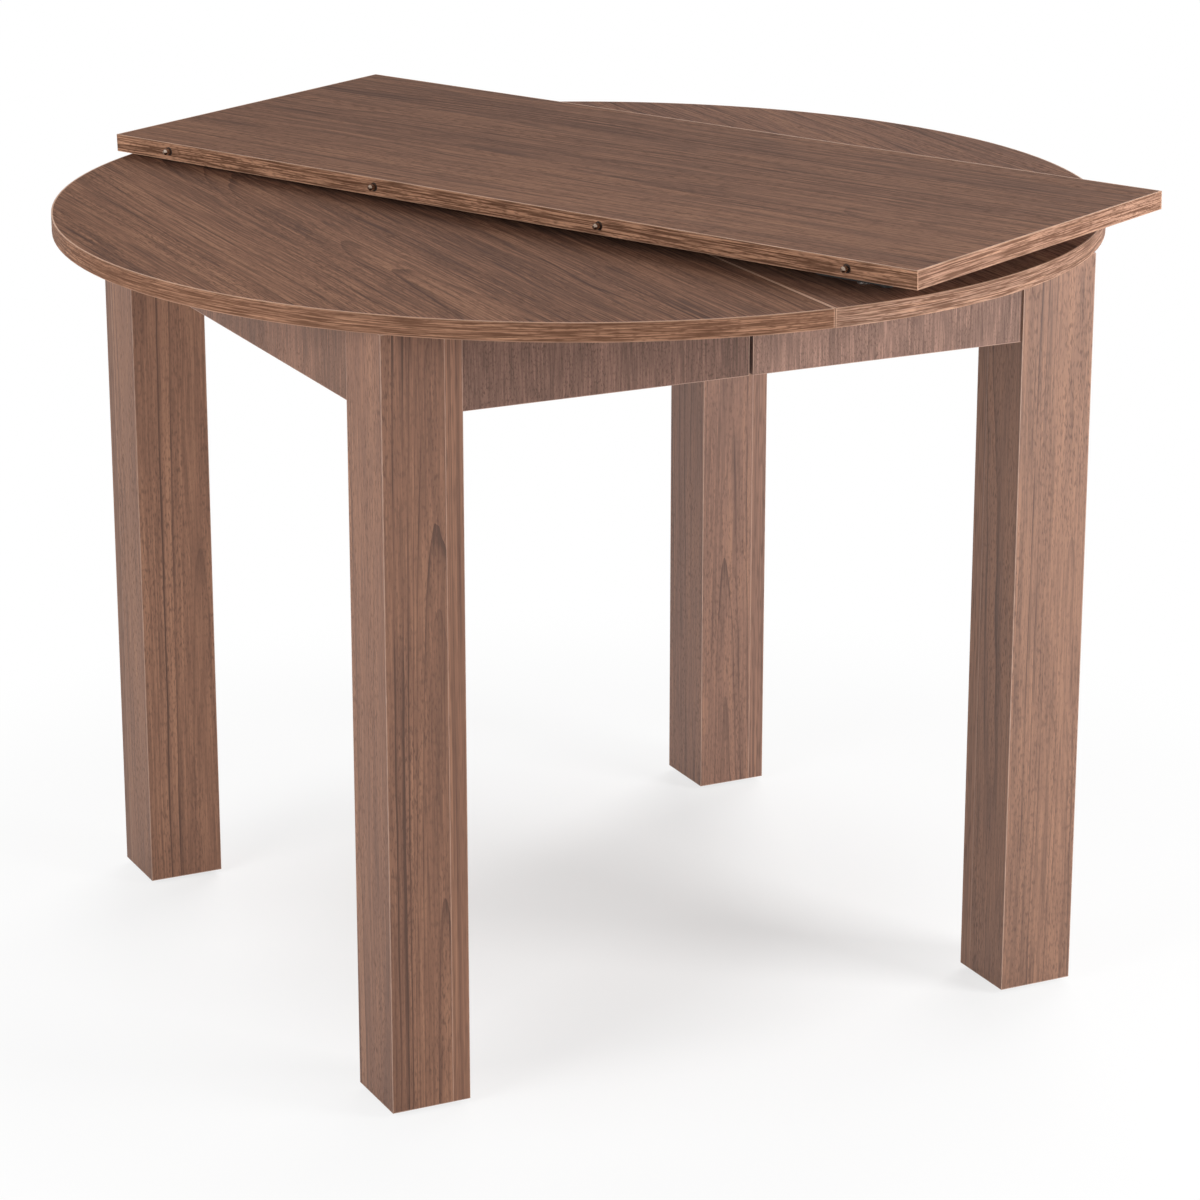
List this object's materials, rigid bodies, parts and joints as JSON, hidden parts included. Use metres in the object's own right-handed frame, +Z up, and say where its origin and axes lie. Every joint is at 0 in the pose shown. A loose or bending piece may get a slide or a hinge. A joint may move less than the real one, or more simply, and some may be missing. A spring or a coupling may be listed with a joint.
{
  "type": "round extending dining table",
  "caption": "Round extending dining table on box legs: the half tops slide apart on runners, and a loose leaf with seam pins and swing locks lies across the closed top.",
  "frame": {"origin": "on the floor under the centre of the closed round top", "axes": "+X is the way the right half pulls out, across the seam; +Y runs along the seam from the front to the back; +Z is up"},
  "size_m": [1.0499, 1.1208, 0.8174],
  "materials": {
    "walnut_laminate": "matt walnut grain laminate on chipboard",
    "walnut_edging": "matt walnut grain edge band",
    "softwood": "raw sawn softwood",
    "black_plastic": "moulded",
    "brown_plastic": "moulded",
    "runner_aluminium": "mill extrusion",
    "zinc_plated_steel": "bright zinc plate",
    "black_steel": "black coated steel",
    "die_cast_zinc": "as cast zinc",
    "burnished_steel": "turned, burnished dark",
    "bright_steel": "turned, bright"
  },
  "bodies": {
    "left_half": {"left_top": "walnut_laminate", "left_bands": "walnut_edging", "left_end_apron": "walnut_laminate", "left_front_apron": "walnut_laminate", "left_back_apron": "walnut_laminate", "left_cams": "die_cast_zinc", "left_cam_bolts": "bright_steel", "left_front_leg_shell": "walnut_laminate", "left_front_leg_face": "walnut_laminate", "left_front_leg_blocks": "softwood", "left_back_leg_shell": "walnut_laminate", "left_back_leg_face": "walnut_laminate", "left_back_leg_blocks": "softwood", "left_glides": "black_plastic", "left_angles": "zinc_plated_steel", "left_front_channel": "runner_aluminium", "left_back_channel": "runner_aluminium", "left_stop_pins": "bright_steel", "left_lock_base": "black_steel", "left_lock_pivot": "bright_steel", "left_keeper": "black_steel"},
    "right_half": {"right_top": "walnut_laminate", "right_bands": "walnut_edging", "right_end_apron": "walnut_laminate", "right_front_apron": "walnut_laminate", "right_back_apron": "walnut_laminate", "right_cams": "die_cast_zinc", "right_cam_bolts": "bright_steel", "right_front_leg_shell": "walnut_laminate", "right_front_leg_face": "walnut_laminate", "right_front_leg_blocks": "softwood", "right_back_leg_shell": "walnut_laminate", "right_back_leg_face": "walnut_laminate", "right_back_leg_blocks": "softwood", "right_glides": "black_plastic", "right_angles": "zinc_plated_steel", "right_front_channel": "runner_aluminium", "right_back_channel": "runner_aluminium", "right_stop_pins": "bright_steel", "right_lock_base": "black_steel", "right_lock_pivot": "bright_steel", "right_keeper": "black_steel", "right_pins": "burnished_steel", "right_bushes": "brown_plastic"},
    "front_bar": {"front_runner_bar": "runner_aluminium"},
    "back_bar": {"back_runner_bar": "runner_aluminium"},
    "left_lock": {"left_lever": "black_steel"},
    "right_lock": {"right_lever": "black_steel"},
    "leaf": {"leaf_panel": "walnut_laminate", "leaf_long_bands": "walnut_edging", "leaf_end_bands": "walnut_edging", "leaf_pins": "burnished_steel", "leaf_bushes": "brown_plastic", "leaf_lock_bases": "black_steel", "leaf_lock_pivots": "bright_steel", "leaf_keepers": "black_steel"},
    "leaf_front_lock": {"leaf_front_lever": "black_steel"},
    "leaf_back_lock": {"leaf_back_lever": "black_steel"}
  },
  "joints": [
    {"name": "table_extend", "type": "slide", "parent": "left_half", "child": "right_half", "axis": [1, 0, 0], "range_m": [0, 0.415]},
    {"name": "front_bar_slide", "type": "slide", "parent": "left_half", "child": "front_bar", "axis": [1, 0, 0], "range_m": [0, 0.2075]},
    {"name": "back_bar_slide", "type": "slide", "parent": "left_half", "child": "back_bar", "axis": [1, 0, 0], "range_m": [0, 0.2075]},
    {"name": "left_lock_turn", "type": "hinge", "parent": "left_half", "child": "left_lock", "pos_m": [-0.02775, 0.445, 0.76], "axis": [0, 0, 1], "range_deg": [0, 90]},
    {"name": "right_lock_turn", "type": "hinge", "parent": "right_half", "child": "right_lock", "pos_m": [0.02775, -0.445, 0.76], "axis": [0, 0, 1], "range_deg": [0, 90]},
    {"name": "leaf_lift", "type": "slide", "parent": "right_half", "child": "leaf", "axis": [0, 0, 1], "range_m": [0, 0.3]},
    {"name": "leaf_front_lock_turn", "type": "hinge", "parent": "leaf", "child": "leaf_front_lock", "pos_m": [0.06992, -0.45402, 0.7892], "axis": [-0.0273, -0.001, 0.9996], "range_deg": [0, 90]},
    {"name": "leaf_back_lock_turn", "type": "hinge", "parent": "leaf", "child": "leaf_back_lock", "pos_m": [0.03348, 0.49802, 0.7892], "axis": [-0.0273, -0.001, 0.9996], "range_deg": [0, 90]}
  ],
  "couplings": [
    {"joint": "front_bar_slide", "follows": "table_extend", "ratio": 0.5},
    {"joint": "back_bar_slide", "follows": "table_extend", "ratio": 0.5}
  ]
}
